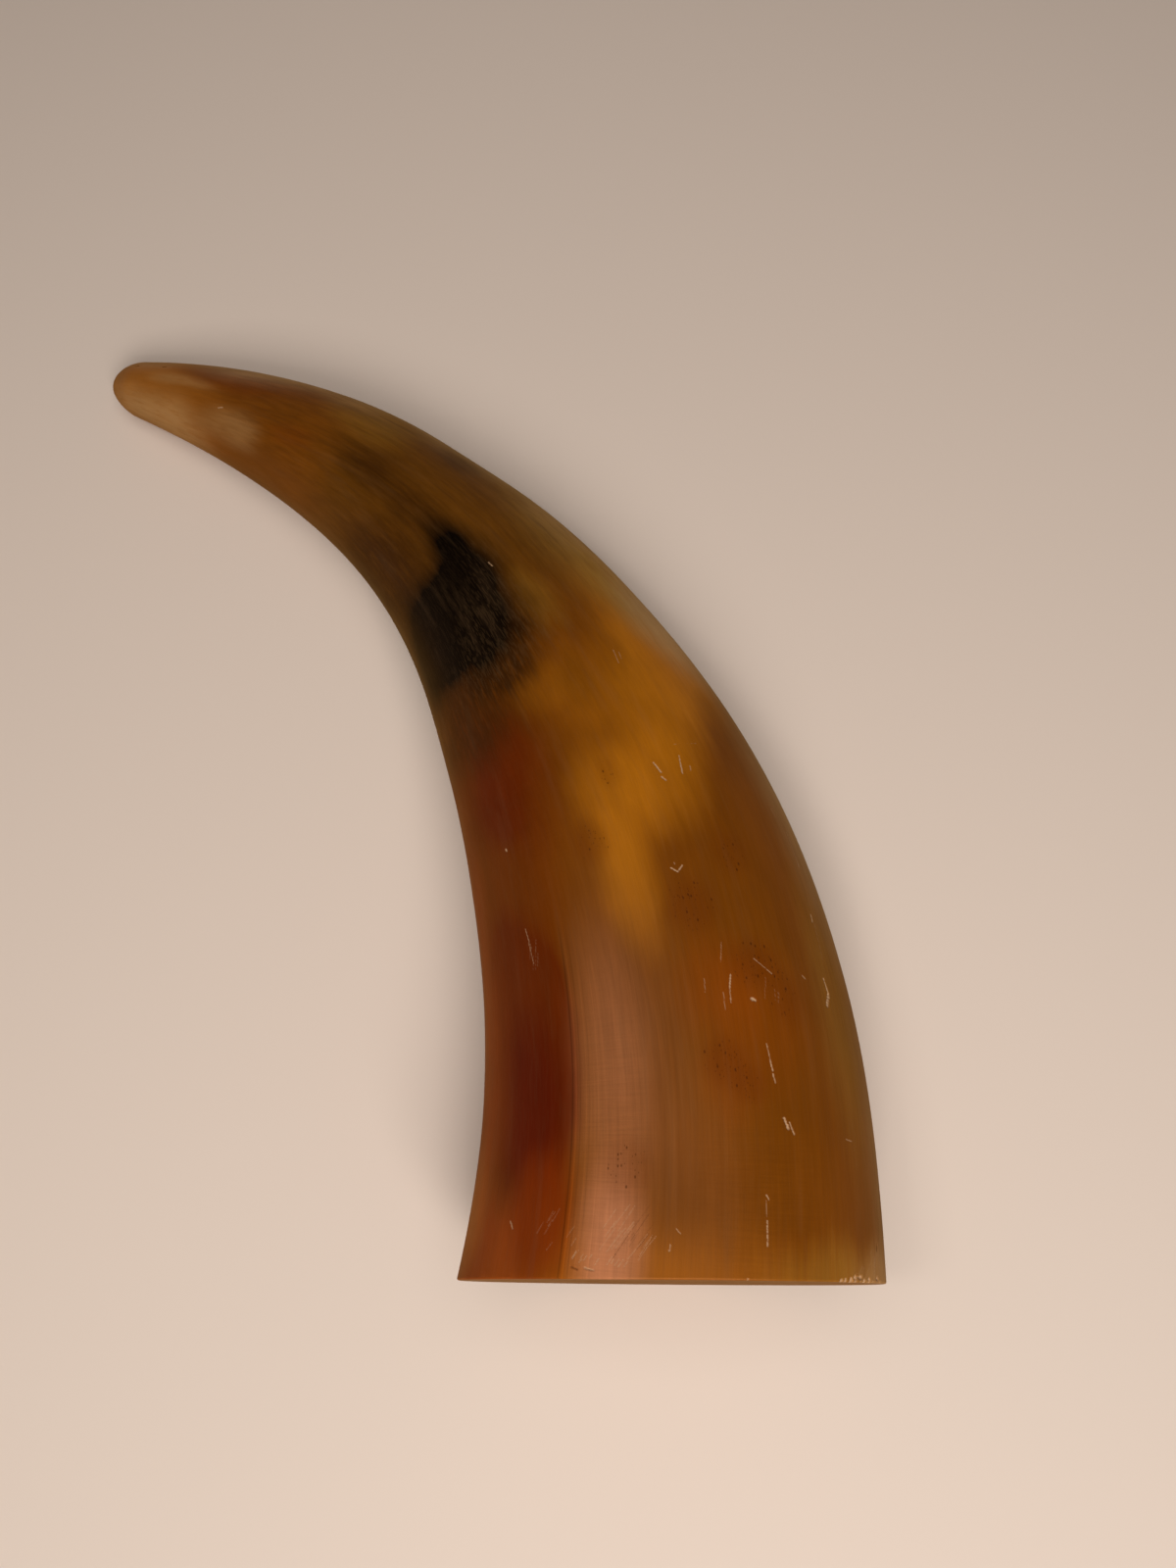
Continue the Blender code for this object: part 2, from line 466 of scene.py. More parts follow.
def sawOff(horn):
    # the flat cut at the root, its rim broken and its face kept apart for its own finish
    point, outward, upward = lineFrame(hornShape["cutAt"])
    point, facing, rim = point * mm, cutFacing(), hornShape["rimBreak"]
    start = point - facing * rim * mm
    whole = horn.verts[:] + horn.edges[:] + horn.faces[:]
    bmesh.ops.bisect_plane(horn, geom=whole, plane_co=start, plane_no=facing, clear_outer=True)
    edges = [edge for edge in horn.edges if edge.is_boundary]
    face = bmesh.ops.edgeloop_fill(horn, edges=edges)["faces"][0]
    turned = 0.0
    for turn in (math.radians(degrees) for degrees in hornShape["rimTurns"]):
        inset = rim * (math.cos(turned) - math.cos(turn))
        out = rim * (math.sin(turn) - math.sin(turned))
        face = innerRing(horn, face, 1 - inset / hornShape["cutReach"], facing * out * mm)
        turned = turn
    straight = horn.verts.layers.float_vector["straight"]
    bare = horn.verts.layers.float["bare"]
    for size in hornShape["faceRings"]:
        face = innerRing(horn, face, size, (0, 0, 0))
        for vert in face.verts:
            off = vert.co - point
            vert[straight] = Vector((off.dot(outward), point.y, off.dot(upward)))
            vert[bare] = 0.0
    for face in horn.faces:
        off = max(abs((vert.co - point).dot(facing)) for vert in face.verts)
        face.material_index = 1 if off < hornShape["cutWithin"] * mm else 0


def setDown(horn):
    # to where the CAD horn lies
    low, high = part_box("horn")
    places = [vert.co for vert in horn.verts]
    myLow = Vector(min(place[axis] for place in places) for axis in range(3))
    myHigh = Vector(max(place[axis] for place in places) for axis in range(3))
    shift = (low + high) / 2 - (myLow + myHigh) / 2
    shift.z = low.z - myLow.z
    bmesh.ops.translate(horn, verts=horn.verts, vec=shift)


def addNode(tree, kind, inputs=None, **settings):
    node = tree.nodes.new("ShaderNode" + kind)
    for name, value in settings.items():
        setattr(node, name, value)
    for name, value in (inputs or {}).items():
        if isinstance(value, bpy.types.NodeSocket):
            tree.links.new(value, node.inputs[name])
        else:
            node.inputs[name].default_value = value
    return node


def maths(tree, operation, first, second=0.0):
    return addNode(tree, "Math", {0: first, 1: second}, operation=operation).outputs[0]


def plus(tree, first, second):
    return maths(tree, "ADD", first, second)


def times(tree, first, second):
    return maths(tree, "MULTIPLY", first, second)


def vectorMaths(tree, operation, first, second=(0, 0, 0)):
    node = addNode(tree, "VectorMath", {0: first, 1: second}, operation=operation)
    return node.outputs["Value" if operation == "LENGTH" else "Vector"]


def ramp(tree, value, fromLow, fromHigh, toLow=0.0, toHigh=1.0):
    # a smooth step from one value to the other
    limits = {"From Min": fromLow, "From Max": fromHigh, "To Min": toLow, "To Max": toHigh}
    node = addNode(tree, "MapRange", {"Value": value, **limits}, interpolation_type="SMOOTHSTEP")
    return node.outputs["Result"]


def mixColour(tree, share, first, second):
    inputs = {0: share, 6: first, 7: second}
    return addNode(tree, "Mix", inputs, data_type="RGBA").outputs[2]


def scaleColour(tree, colour, amount):
    # a colour made lighter or darker by a number
    return vectorMaths(tree, "MULTIPLY", colour, amount)


def stretched(tree, place, cells, turn=(0, 0, 0), shift=(0, 0, 0)):
    # the place in cells of a pattern; cells are per mm on each axis
    angles = [math.radians(degrees) for degrees in turn]
    inputs = {"Vector": place, "Rotation": angles, "Scale": cells, "Location": shift}
    return addNode(tree, "Mapping", inputs).outputs[0]


def noiseAt(tree, place, cells, detail, roughness, output="Fac", **moved):
    inputs = {"Vector": stretched(tree, place, cells, **moved), "Scale": 1.0}
    inputs.update({"Detail": detail, "Roughness": roughness})
    return addNode(tree, "TexNoise", inputs).outputs[output]


def softPatch(tree, place, patch):
    # the patch's strength inside an oval, fading to nothing at its reach
    angle, along, across, length, inner, strength = patch
    off = vectorMaths(tree, "SUBTRACT", place, straightPlace(angle, along))
    off = vectorMaths(tree, "DIVIDE", off, (across, length, across))
    return ramp(tree, vectorMaths(tree, "LENGTH", off), 1.0, inner, 0.0, strength)


def patchSum(tree, place, patches):
    total = softPatch(tree, place, patches[0])
    for patch in patches[1:]:
        total = plus(tree, total, softPatch(tree, place, patch))
    return maths(tree, "MINIMUM", total, 1.0)


def straightMillimetres(tree):
    straight = addNode(tree, "Attribute", attribute_name="straight").outputs["Vector"]
    node = addNode(tree, "VectorMath", {0: straight, "Scale": 1000.0}, operation="SCALE")
    return node.outputs["Vector"]


# Stains in the horn, with a painted sheen and painted reflections on its sides, laid one over
# the next. Each patch: angle, along, reach round and along (mm), share of it that is full,
# strength.
hornStainsAndPaintedLight = {
    "groundColour": (0.160, 0.047, 0.002, 1),
    "streaky": ["outerPaleAndPaintedReflection", "outerOlive", "tipPale", "darkBrown"],
    "strands": (0.3, 0.55, 0.62, 1.0),  # what the streaky ones keep, from strand to strand
    "layers": [
        ("rootGlow", (0.27, 0.085, 0.006, 1), [
            (80, 7, 80, 14, 0.3, 0.9),
        ]),
        ("midOlive", (0.108, 0.040, 0.003, 1), [
            (90, 137, 60, 40, 0.4, 0.95),
        ]),
        ("tipBrown", (0.145, 0.046, 0.003, 1), [
            (90, 172, 60, 18, 0.3, 0.8),
        ]),
        ("tipAmber", (0.295, 0.106, 0.013, 1), [
            (90, 211, 60, 34, 0.3, 1.0),
        ]),
        ("tipPale", (0.40, 0.23, 0.085, 1), [
            (160, 198, 7, 17, 0.2, 0.75),
            (128, 181, 5, 10, 0.2, 0.4),
            (150, 209, 6, 10, 0.2, 0.3),
            (89, 195, 1.8, 18, 0.2, 0.4),
        ]),
        ("tipRed", (0.135, 0.030, 0.001, 1), [
            (68, 185, 5, 18, 0.2, 0.85),
            (108, 168, 3, 7, 0.2, 0.4),
        ]),
        ("redFlank", (0.112, 0.017, 0.0005, 1), [
            (141, 40, 12, 28, 0.5, 1.0),
            (138, 64, 13, 32, 0.3, 0.6),
            (140, 90, 15, 18, 0.3, 0.7),
            (120, 84, 9, 18, 0.3, 0.5),
            (125, 36, 5, 30, 0.3, 0.6),
        ]),
        ("redDeep", (0.085, 0.005, 0.0003, 1), [
            (136, 34, 9, 20, 0.3, 0.85),
            (134, 84, 6, 14, 0.1, 0.3),
        ]),
        # lighter red along the inner side's lower edge: partly the horn's own colour, partly
        # painted light
        ("redEdgeAndPaintedLight", (0.26, 0.045, 0.004, 1), [
            (176, 36, 14, 54, 0.3, 0.9),
            (150, 12, 18, 12, 0.2, 0.8),
            (172, 76, 8, 30, 0.3, 0.6),
            (188, 30, 16, 60, 0.2, 0.8),
        ]),
        ("rootRed", (0.185, 0.024, 0.0005, 1), [
            (128, 18, 7, 13, 0.3, 0.8),
        ]),
        # pale band at the root's inner edge: partly the horn's own colour, partly the polish's
        # reflection painted in
        ("rootEdgeAndPaintedReflection", (0.42, 0.13, 0.018, 1), [
            (170, 16, 9, 14, 0.2, 0.75),
        ]),
        ("amber", (0.372, 0.130, 0.005, 1), [
            (95, 63, 6, 14, 0.1, 0.85),
            (92, 75, 8, 14, 0.2, 0.75),
            (76, 77, 9, 12, 0.2, 0.75),
            (64, 86, 9, 13, 0.2, 0.6),
            (50, 95, 12, 17, 0.2, 0.75),
            (34, 102, 13, 22, 0.2, 0.75),
            (84, 92, 8, 12, 0.2, 0.4),
            (100, 96, 7, 6, 0.2, 0.3),
        ]),
        ("clusterRed", (0.23, 0.047, 0.001, 1), [
            (79, 47, 8, 9, 0.2, 0.4),
            (66, 43, 8, 12, 0.2, 0.3),
            (78, 36, 6, 8, 0.2, 0.3),
        ]),
        ("outerOlive", (0.30, 0.155, 0.020, 1), [
            (24, 118, 14, 26, 0.2, 0.8),
            (36, 108, 8, 16, 0.2, 0.5),
            (52, 159, 9, 13, 0.2, 0.4),
            (84, 110, 5, 9, 0.2, 0.3),
            (46, 13, 16, 7, 0.1, 0.5),
            (34, 44, 7, 24, 0.2, 0.35),
        ]),
        # pale, bluish band along the outer side: partly pale horn, partly the polish's reflection
        # of the floor painted in
        ("outerPaleAndPaintedReflection", (0.50, 0.32, 0.15, 1), [
            (18, 102, 12, 18, 0.2, 0.95),
            (14, 124, 11, 16, 0.1, 0.6),
            (12, 144, 10, 18, 0.2, 0.8),
            (16, 165, 9, 15, 0.1, 0.6),
            (20, 184, 9, 22, 0.2, 0.7),
            (28, 204, 6, 12, 0.2, 0.4),
            (10, 70, 12, 30, 0.1, 0.55),
            (6, 30, 12, 34, 0.1, 0.35),
            (16, 12, 14, 8, 0.2, 0.4),
        ]),
        ("underRed", (0.13, 0.022, 0.002, 1), [
            (222, 60, 14, 44, 0.2, 0.7),
            (318, 150, 10, 30, 0.2, 0.5),
        ]),
        ("underAmber", (0.35, 0.125, 0.010, 1), [
            (262, 84, 12, 30, 0.2, 0.7),
            (296, 110, 10, 24, 0.2, 0.6),
            (330, 34, 12, 26, 0.2, 0.5),
        ]),
        ("darkBrown", (0.038, 0.012, 0.001, 1), [
            (96, 151, 6, 14, 0.1, 0.8),
            (150, 136, 13, 20, 0.3, 0.9),
            (50, 142, 4, 6, 0.2, 0.3),
            (134, 98, 16, 12, 0.2, 0.8),
            (106, 104, 10, 8, 0.2, 0.8),
            (97, 138, 5, 9, 0.2, 0.6),
            (92, 110, 6, 8, 0.2, 0.6),
            (88, 95, 5, 7, 0.2, 0.25),
            (42, 143, 6, 9, 0.2, 0.4),
        ]),
        ("black", (0.001, 0.0006, 0.0003, 1), [
            (100, 122, 8, 14, 0.1, 1.0),
            (98, 131, 4.5, 8, 0.2, 0.6),
            (118, 116, 11, 16, 0.2, 1.0),
            (107, 109, 8, 9, 0.1, 0.8),
            (136, 115, 13, 18, 0.2, 1.0),
            (170, 112, 14, 14, 0.2, 0.35),
            (204, 122, 10, 13, 0.3, 0.9),
            (236, 130, 8, 12, 0.3, 0.8),
        ]),
        # painted reflection: a faint mauve haze of the polish's reflection, painted over the top
        # near the root
        ("paintedReflectionHaze", (0.185, 0.068, 0.024, 1), [
            (102, 42, 10, 32, 0.1, 0.45),
            (88, 24, 10, 18, 0.1, 0.2),
        ]),
        # painted sheen: the soft highlight of the polish near the root, painted in as a lighter
        # pinkish band
        ("paintedSheen", (0.43, 0.175, 0.085, 1), [
            (107, 13, 6, 17, 0.15, 0.85),
            (108, 38, 8, 28, 0.1, 0.27),
        ]),
    ],
}

# Noise patterns in the finish: cells per mm across, along and up, degrees turned, cells shifted.
hornGrain = {
    "wander": {"cells": (0.075, 0.045, 0.075), "detail": 3, "roughness": 0.5},
    "fibres": {"cells": (0.55, 0.03, 0.55), "detail": 4, "roughness": 0.55},
    "strands": {"cells": (1.6, 0.02, 1.6), "detail": 4, "roughness": 0.62, "shift": (7, 3, 1)},
    "slanted": {
        "cells": (0.75, 0.016, 0.75),
        "detail": 4,
        "roughness": 0.62,
        "turn": (0, 0, 3.5),
        "shift": (4, 1, 2),
    },
    "fine": {"cells": (3.2, 0.03, 3.2), "detail": 3, "roughness": 0.6, "turn": (0, 0, -1.5)},
    "cloud": {"cells": (0.11, 0.06, 0.11), "detail": 3, "roughness": 0.55, "shift": (9, 2, 5)},
    "streaks": {
        "cells": (1.3, 0.035, 1.3),
        "detail": 3,
        "roughness": 0.6,
        "turn": (0, 0, 5),
        "shift": (2, 8, 3),
    },
    "striae": {"cells": (2.2, 0.006, 2.2), "detail": 3, "roughness": 0.6},
    "sanding": {"cells": (0.22, 4.2, 0.22), "detail": 3, "roughness": 0.65},
    "smear": {"cells": (0.25, 0.09, 0.25), "detail": 4, "roughness": 0.6, "turn": (0, 0, 20)},
    "grain": {"cells": (4.5, 0.06, 4.5), "detail": 2, "roughness": 0.6},
    "speck": {"cells": (3.0, 3.0, 3.0), "detail": 2, "roughness": 0.6},
    "hair": {"cells": (1 / 0.30, 1 / 7.0, 1 / 0.30), "detail": 1, "roughness": 0.5},
}

# How much darker and lighter a pattern makes the horn: from, to, darkest, lightest.
hornTones = {
    "slanted": (0.25, 0.75, 0.95, 1.05),
    "fine": (0.2, 0.8, -0.05, 0.05),
    "cloud": (0.25, 0.75, 0.92, 1.08),
    "streaks": (0.3, 0.7, -0.14, 0.14),
    "striae": (0.3, 0.7, -0.07, 0.07),
    "sanding": (0.3, 0.7, -0.06, 0.07),
}

# The finish over the stains. Patches as above.
hornFinish = {
    "wander": (1.7, 3.4, 1.7),  # how far the stains' outlines stray, mm
    "feather": 2.4,  # how far fibres pull them along the growth, mm
    "streaked": [(70, 150, 16, 62, 0.4, 1.0), (120, 150, 14, 40, 0.3, 0.8)],
    "greyColour": (0.26, 0.15, 0.07, 1),
    "greyFibres": (0.5, 0.75, 0.0, 0.06),  # from, to, least, most
    "poreClusters": [
        (91, 79, 2.8, 3.6, 0.2, 0.6),
        (103, 70, 4.0, 5.0, 0.2, 0.8),
        (81, 58, 5.0, 5.5, 0.2, 1.0),
        (66, 49.5, 5.0, 4.5, 0.2, 1.0),
        (58, 45, 4.0, 5.0, 0.2, 0.7),
        (80, 38, 4.5, 4.5, 0.2, 1.0),
        (74, 35, 3.5, 3.5, 0.2, 0.8),
        (63, 64, 4.0, 4.5, 0.2, 0.7),
        (104, 25, 4.5, 6.0, 0.2, 0.7),
        (215, 80, 12, 20, 0.2, 0.6),
        (330, 40, 10, 16, 0.2, 0.6),
    ],
    "poreColour": (0.050, 0.011, 0.001, 1),
    "poreStain": (0.115, 0.021, 0.0006, 1),
    "poreStainShare": 0.38,
    "poreEdge": (0.30, 0.12),  # from nothing to full, as shares of a cell
    "poreFade": 0.9,  # share of its rarity at which a pore starts to show
    "strayPores": 0.1,
    "pores": [  # cells per mm, how rare, strength
        ((1.7, 1.0, 1.7), 0.45, 0.75),
        ((2.9, 1.9, 2.9), 0.5, 0.6),
    ],
    "scratched": [
        (103, 110, 9, 13, 0.2, 1.0),
        (118, 105, 9, 9, 0.2, 0.9),
        (92, 119, 4.5, 13, 0.2, 0.7),
        (88, 104, 8, 8, 0.2, 0.4),
    ],
    "scratchColour": (0.155, 0.092, 0.040, 1),
    "scratchShare": (0.09, 0.03),  # of the hair lines, in those patches and everywhere
    "hairSlants": (2, -5, 66, 80, -35),  # degrees across the growth
    "hairEdge": (0.60, 0.69),
    "striated": [(104, 30, 9, 48, 0.4, 1.0), (84, 40, 9, 34, 0.3, 0.3)],
    "creased": [(118, 32, 9, 34, 0.5, 1.0)],
    "creaseLines": [  # angle, half width, how much paler
        (119.8, 0.5, -0.34),
        (118.7, 0.5, 0.30),
        (117.4, 0.4, -0.20),
        (115.6, 0.35, 0.14),
        (114.8, 0.35, -0.12),
        (112.2, 0.3, 0.12),
    ],
    "sanded": [
        (108, 26, 8, 34, 0.2, 1.0),
        (72, 22, 14, 16, 0.2, 0.8),
        (122, 78, 9, 22, 0.2, 0.5),
    ],
    "bareColour": (0.44, 0.29, 0.17, 1),
    "dirtColour": (0.030, 0.008, 0.003, 1),
    "polish": (0.3, 0.7, 0.35, 0.43),  # roughness over the smears
    "scratchRoughness": 0.08,
    "nickRoughness": 0.25,
    "specular": 0.4,
    "specularTint": (1.0, 0.50, 0.22, 1),
    "bumpHeight": 0.012,  # mm
    "bumpStrength": 0.6,
    "speckShare": 0.35,
    "sandingShare": (1.6, 0.25),  # in the sanded patches and everywhere
    "hairDepth": 0.5,
}


def grain(tree, place, name, output="Fac"):
    return noiseAt(tree, place, output=output, **hornGrain[name])


def tone(tree, place, name):
    return ramp(tree, grain(tree, place, name), *hornTones[name])


def stainedAndPaintedLightColour(tree, place, fibres):
    # pigment, with the painted sheen and painted reflections among it, its outlines strayed and
    # feathered along the fibres
    wander = vectorMaths(tree, "SUBTRACT", grain(tree, place, "wander", "Color"), (0.5, 0.5, 0.5))
    wander = vectorMaths(tree, "MULTIPLY", wander, [2 * reach for reach in hornFinish["wander"]])
    pull = times(tree, maths(tree, "SUBTRACT", fibres, 0.5), 2 * hornFinish["feather"])
    pull = addNode(tree, "CombineXYZ", {1: pull}).outputs[0]
    strayed = vectorMaths(tree, "ADD", vectorMaths(tree, "ADD", place, wander), pull)
    strands = ramp(tree, grain(tree, place, "strands"), *hornStainsAndPaintedLight["strands"])
    colour = hornStainsAndPaintedLight["groundColour"]
    for name, tint, patches in hornStainsAndPaintedLight["layers"]:
        share = patchSum(tree, strayed, patches)
        if name in hornStainsAndPaintedLight["streaky"]:
            share = times(tree, share, strands)
        colour = mixColour(tree, share, colour, tint)
    return colour


def fibreTone(tree, place, colour, fibres):
    # long light and dark streaks, some running a little across the growth
    shade = plus(tree, tone(tree, place, "slanted"), tone(tree, place, "fine"))
    shade = times(tree, shade, tone(tree, place, "cloud"))
    streaked = patchSum(tree, place, hornFinish["streaked"])
    shade = plus(tree, shade, times(tree, tone(tree, place, "streaks"), streaked))
    greyed = ramp(tree, fibres, *hornFinish["greyFibres"])
    return mixColour(tree, greyed, scaleColour(tree, colour, shade), hornFinish["greyColour"])


def poreSpots(tree, place, colour):
    # brown pores in loose clusters, each cluster on a faint reddish stain
    cluster = patchSum(tree, place, hornFinish["poreClusters"])
    stain = times(tree, cluster, hornFinish["poreStainShare"])
    colour = mixColour(tree, stain, colour, hornFinish["poreStain"])
    chance = plus(tree, cluster, hornFinish["strayPores"])
    for cells, rarity, strength in hornFinish["pores"]:
        inputs = {"Vector": stretched(tree, place, cells), "Scale": 1.0}
        found = addNode(tree, "TexVoronoi", inputs).outputs
        dots = ramp(tree, found["Distance"], *hornFinish["poreEdge"])
        lucky = addNode(tree, "SeparateColor", {0: found["Color"]}).outputs[0]
        kept = ramp(tree, times(tree, lucky, chance), rarity * hornFinish["poreFade"], rarity)
        share = times(tree, times(tree, dots, kept), strength)
        colour = mixColour(tree, share, colour, hornFinish["poreColour"])
    return colour


def hairLines(tree, place):
    # the brightest of several sets of fine straight lines, each at its own slant
    lines = 0.0
    for slant in hornFinish["hairSlants"]:
        moved = {"turn": (0, 0, slant), "shift": (slant, 0, slant * 2)}
        found = noiseAt(tree, place, **hornGrain["hair"], **moved)
        lines = maths(tree, "MAXIMUM", lines, ramp(tree, found, *hornFinish["hairEdge"]))
    return lines


def scrapedTone(tree, place, sanding, sanded):
    # lines scraped along the flat beside the ridge, the ridge's own lines, and sanding across
    striated = patchSum(tree, place, hornFinish["striated"])
    shade = times(tree, striated, tone(tree, place, "striae"))
    shade = plus(tree, shade, times(tree, sanded, ramp(tree, sanding, *hornTones["sanding"])))
    turn = addNode(tree, "Attribute", attribute_name="turn").outputs["Fac"]
    creased = patchSum(tree, place, hornFinish["creased"])
    for angle, half, rise in hornFinish["creaseLines"]:
        gap = maths(tree, "ABSOLUTE", maths(tree, "SUBTRACT", turn, angle))
        shade = plus(tree, shade, times(tree, ramp(tree, gap, half, 0.0, 0.0, rise), creased))
    return plus(tree, shade, 1.0)


def nickedColour(tree, colour, bare):
    # pale bare horn in the nicks, or dark dirt where the number is negative
    pale = maths(tree, "MAXIMUM", bare, 0.0)
    dirt = maths(tree, "MAXIMUM", times(tree, bare, -1.0), 0.0)
    colour = mixColour(tree, pale, colour, hornFinish["bareColour"])
    return mixColour(tree, dirt, colour, hornFinish["dirtColour"])


def polishRoughness(tree, place, scratched, bare):
    rough = ramp(tree, grain(tree, place, "smear"), *hornFinish["polish"])
    rough = plus(tree, rough, times(tree, scratched, hornFinish["scratchRoughness"]))
    nicked = maths(tree, "ABSOLUTE", bare)
    return plus(tree, rough, times(tree, nicked, hornFinish["nickRoughness"]))


def fineRelief(tree, place, sanding, sanded, lines):
    # relief too fine for the mesh: grain along, specks, sanding across and the hair lines
    specks = times(tree, grain(tree, place, "speck"), hornFinish["speckShare"])
    height = plus(tree, grain(tree, place, "grain"), specks)
    inPatches, everywhere = hornFinish["sandingShare"]
    share = plus(tree, times(tree, sanded, inPatches), everywhere)
    height = plus(tree, height, times(tree, sanding, share))
    height = maths(tree, "SUBTRACT", height, times(tree, lines, hornFinish["hairDepth"]))
    return bumpOf(tree, height, hornFinish["bumpHeight"], hornFinish["bumpStrength"])


def bumpOf(tree, height, distance, strength):
    inputs = {"Height": height, "Distance": distance * mm, "Strength": strength}
    return addNode(tree, "Bump", inputs).outputs[0]


def newMaterial(name):
    material = bpy.data.materials.new(name)
    material.use_nodes = True
    return material, material.node_tree, material.node_tree.nodes["Principled BSDF"]


def polishedHorn():
    material, tree, shader = newMaterial("polishedHorn")
    place = straightMillimetres(tree)
    bare = addNode(tree, "Attribute", attribute_name="bare").outputs["Fac"]
    scratched = patchSum(tree, place, hornFinish["scratched"])
    sanded = patchSum(tree, place, hornFinish["sanded"])
    sanding = grain(tree, place, "sanding")
    lines = hairLines(tree, place)

    fibres = grain(tree, place, "fibres")
    colour = stainedAndPaintedLightColour(tree, place, fibres)
    colour = fibreTone(tree, place, colour, fibres)
    colour = poreSpots(tree, place, colour)
    inPatches, everywhere = hornFinish["scratchShare"]
    shown = times(tree, lines, plus(tree, times(tree, scratched, inPatches), everywhere))
    colour = mixColour(tree, shown, colour, hornFinish["scratchColour"])
    colour = scaleColour(tree, colour, scrapedTone(tree, place, sanding, sanded))
    colour = nickedColour(tree, colour, bare)

    tree.links.new(colour, shader.inputs["Base Color"])
    tree.links.new(polishRoughness(tree, place, scratched, bare), shader.inputs["Roughness"])
    tree.links.new(fineRelief(tree, place, sanding, sanded, lines), shader.inputs["Normal"])
    shader.inputs["Specular IOR Level"].default_value = hornFinish["specular"]
    shader.inputs["Specular Tint"].default_value = hornFinish["specularTint"]
    return material


# The cut face: growth layers round the middle, and the saw's fine straight marks across them.
sawnFace = {
    "darkLayer": (0.20, 0.078, 0.018, 1),
    "paleLayer": (0.30, 0.13, 0.042, 1),
    "roundness": (0.74, 0, 1),  # flattens the layers as the section is
    "layersPerMm": 0.55,
    "layerDetail": 4,
    "layerLimits": (0.25, 0.80),
    "wobble": {"cells": (0.12, 0.12, 0.12), "detail": 3, "roughness": 0.6},
    "wobbleReach": 2.2,
    "cloud": {"cells": (0.07, 0.07, 0.07), "detail": 3, "roughness": 0.6, "shift": (3, 5, 1)},
    "cloudShare": (0.45, 0.75, 0.0, 0.6),
    "saw": {"cells": (0.03, 0.03, 2.6), "detail": 3, "roughness": 0.6, "turn": (0, 24, 0)},
    "sawTone": (0.3, 0.7, 0.84, 1.16),
    "sawRoughness": (0.3, 0.7, 0.38, 0.52),
    "sawDepth": 0.03,  # mm
    "sawStrength": 0.6,
    "edgeColour": (0.46, 0.29, 0.17, 1),
    "edgeShare": (20.0, 25.0, 0.0, 0.55),  # from and to, mm out from the middle
    "specular": 0.4,
}


def sawnHorn():
    material, tree, shader = newMaterial("sawnHorn")
    place = straightMillimetres(tree)
    wobble = times(tree, noiseAt(tree, place, **sawnFace["wobble"]), sawnFace["wobbleReach"])
    flattened = vectorMaths(tree, "MULTIPLY", place, sawnFace["roundness"])
    radius = plus(tree, vectorMaths(tree, "LENGTH", flattened), wobble)
    inputs = {"W": radius, "Scale": sawnFace["layersPerMm"], "Detail": sawnFace["layerDetail"]}
    layers = addNode(tree, "TexNoise", inputs, noise_dimensions="1D").outputs["Fac"]
    layers = ramp(tree, layers, *sawnFace["layerLimits"])
    colour = mixColour(tree, layers, sawnFace["darkLayer"], sawnFace["paleLayer"])
    cloud = ramp(tree, noiseAt(tree, place, **sawnFace["cloud"]), *sawnFace["cloudShare"])
    colour = mixColour(tree, cloud, colour, sawnFace["darkLayer"])
    saw = noiseAt(tree, place, **sawnFace["saw"])
    colour = scaleColour(tree, colour, ramp(tree, saw, *sawnFace["sawTone"]))
    edge = ramp(tree, radius, *sawnFace["edgeShare"])
    colour = mixColour(tree, edge, colour, sawnFace["edgeColour"])
    rough = ramp(tree, saw, *sawnFace["sawRoughness"])
    bump = bumpOf(tree, saw, sawnFace["sawDepth"], sawnFace["sawStrength"])
    tree.links.new(colour, shader.inputs["Base Color"])
    tree.links.new(rough, shader.inputs["Roughness"])
    tree.links.new(bump, shader.inputs["Normal"])
    shader.inputs["Specular IOR Level"].default_value = sawnFace["specular"]
    return material


studio = {
    "lamps": [  # name, place, aimed at, width and depth, watts, seen in reflections
        ("frontLamp", (0.09, -0.36, 0.40), (0.07, -0.06, 0), (0.30, 0.20), 1.72, True),
        ("overheadLamp", (0.028, -0.06, 0.52), (0.07, -0.06, 0), (0.40, 0.36), 1.07, False),
        ("sheenLamp", (-0.17, -0.06, 0.50), (0.02, -0.05, 0), (0.08, 0.10), 0.28, True),
    ],
    "lampColour": (1.0, 0.88, 0.79),
    "floorColour": (0.74, 0.67, 0.61, 1),
    "floorRoughness": 0.7,
    "floorHalf": 4.0,
    "skyBelow": (0.30, 0.16, 0.05, 1),  # only the horn's polish shows it
    "skyLow": (0.22, 0.187, 0.162, 1),
    "skyHigh": (0.03, 0.027, 0.025, 1),
    "lowToHigh": (0.05, 0.45),  # heights where one sky gives way to the next
    "belowToLow": (-0.25, -0.12),
}


def show(piece):
    bpy.context.scene.collection.objects.link(piece)
    return piece


def makeFloor():
    grid = bmesh.new()
    bmesh.ops.create_grid(grid, x_segments=1, y_segments=1, size=studio["floorHalf"])
    mesh = bpy.data.meshes.new("floor")
    grid.to_mesh(mesh)
    grid.free()
    material, _, shader = newMaterial("paleFloor")
    shader.inputs["Base Color"].default_value = studio["floorColour"]
    shader.inputs["Roughness"].default_value = studio["floorRoughness"]
    mesh.materials.append(material)
    floor = show(bpy.data.objects.new("floor", mesh))
    floor.visible_glossy = False  # keeps the floor's glare off the horn's sides


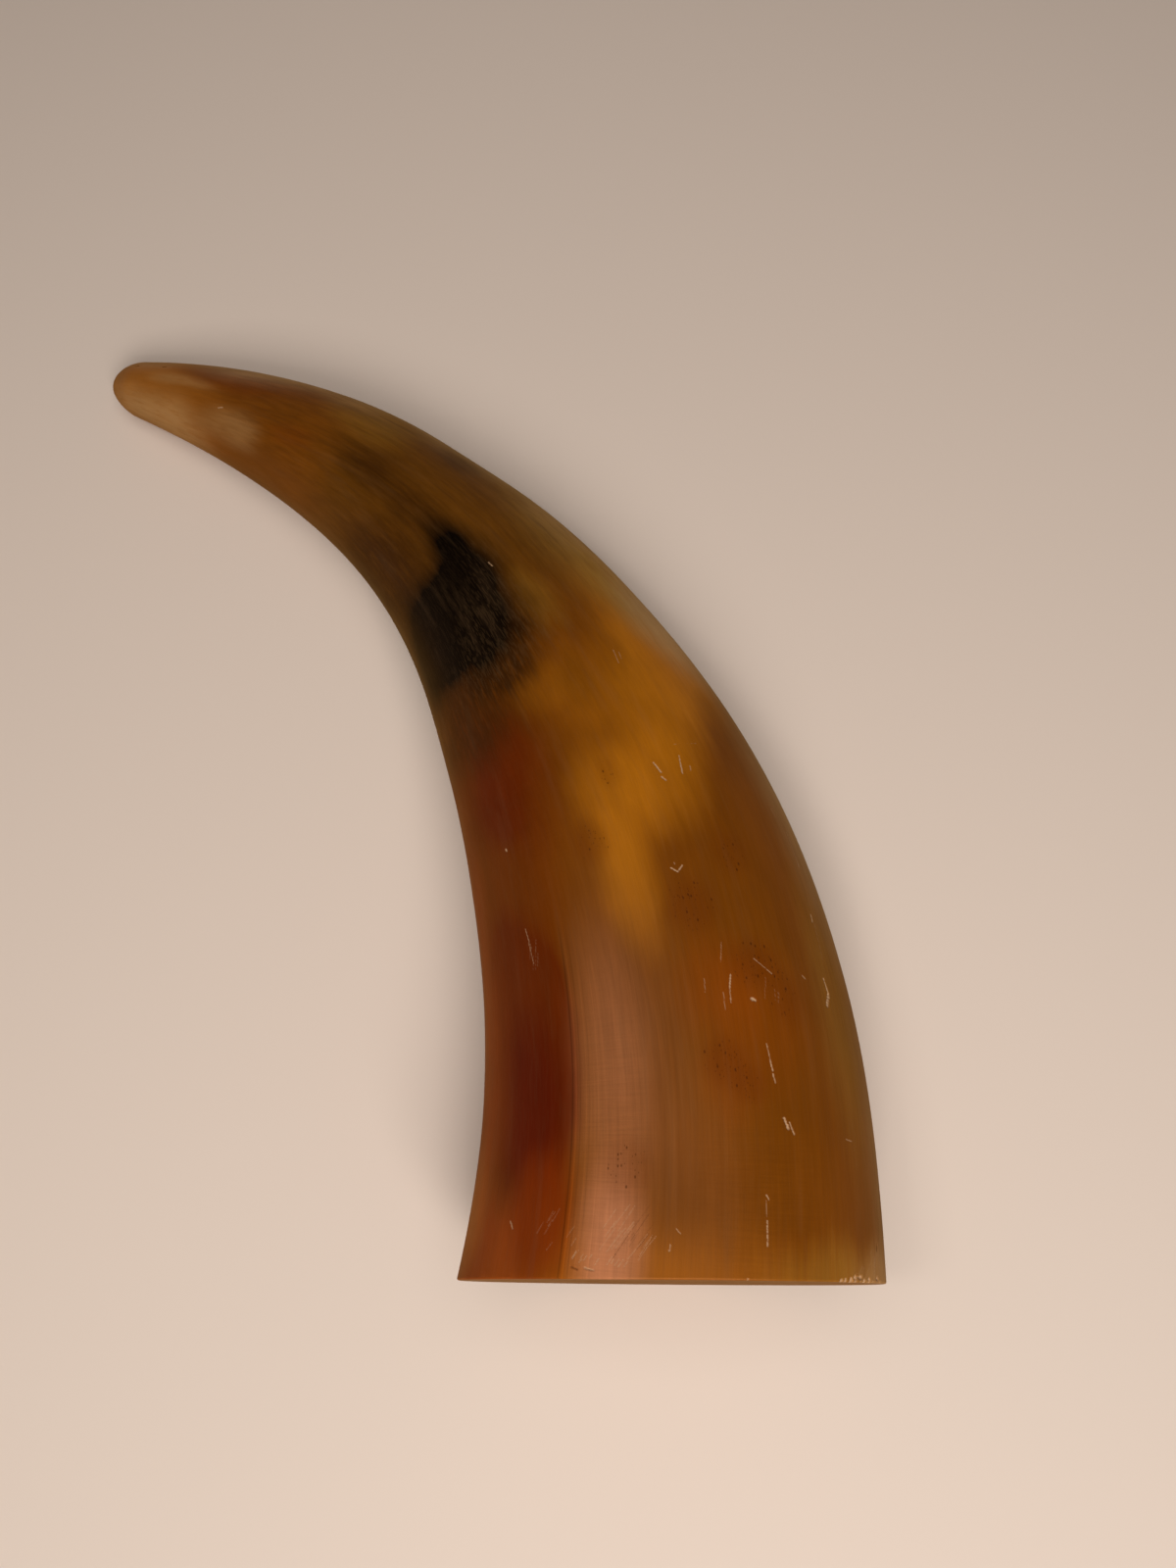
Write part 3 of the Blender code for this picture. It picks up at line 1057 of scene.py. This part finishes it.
def makeLamps():
    for name, place, target, size, watts, mirrored in studio["lamps"]:
        data = bpy.data.lights.new(name, "AREA")
        data.shape = "RECTANGLE"
        data.size, data.size_y = size
        data.energy = watts
        data.color = studio["lampColour"]
        lamp = show(bpy.data.objects.new(name, data))
        lamp.location = place
        lamp.rotation_mode = "QUATERNION"
        lamp.rotation_quaternion = (Vector(target) - Vector(place)).to_track_quat("-Z", "Y")
        lamp.visible_glossy = mirrored


def makeSky():
    world = bpy.data.worlds.new("dimRoom")
    world.use_nodes = True
    tree = world.node_tree
    direction = addNode(tree, "TexCoord").outputs["Generated"]
    height = addNode(tree, "SeparateXYZ", {0: direction}).outputs[2]
    high = ramp(tree, height, *studio["lowToHigh"])
    sky = mixColour(tree, high, studio["skyLow"], studio["skyHigh"])
    above = ramp(tree, height, *studio["belowToLow"])
    sky = mixColour(tree, above, studio["skyBelow"], sky)
    tree.links.new(sky, tree.nodes["Background"].inputs["Color"])
    bpy.context.scene.world = world


camera = {
    "lens": 28.0,
    "sensor": 36.0,
    "tilt": 16.0,  # from straight down
    "distance": 0.21257,
    "nearest": 0.01,
    "target": (0.0241, 0.0004, 0.0),
}


def makeCamera():
    data = bpy.data.cameras.new("camera")
    data.lens = camera["lens"]
    data.sensor_width = camera["sensor"]
    data.clip_start = camera["nearest"]
    eye = show(bpy.data.objects.new("camera", data))
    tilt = math.radians(camera["tilt"])
    back = Vector((0, -math.sin(tilt), math.cos(tilt)))
    eye.location = Vector(camera["target"]) + back * camera["distance"]
    eye.rotation_euler = (tilt, 0, 0)
    bpy.context.scene.camera = eye


def makeHorn():
    horn = flatSheet()
    refineNicks(horn)
    rollUp(horn)
    sawOff(horn)
    setDown(horn)
    bmesh.ops.recalc_face_normals(horn, faces=horn.faces)
    mesh = bpy.data.meshes.new("polishedBuffaloHorn")
    horn.to_mesh(mesh)
    horn.free()
    mesh.shade_smooth()
    mesh.materials.append(polishedHorn())
    mesh.materials.append(sawnHorn())
    piece = show(bpy.data.objects.new("polishedBuffaloHorn", mesh))
    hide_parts("horn")
    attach(piece, "root")
    triangles = sum(len(face.vertices) - 2 for face in mesh.polygons)
    print("horn:", len(mesh.vertices), "points,", triangles, "triangles")


makeCamera()
makeLamps()
makeSky()
makeFloor()
bpy.context.scene.view_settings.view_transform = "Standard"
print("camera, lamps, sky and floor are in place")

makeHorn()
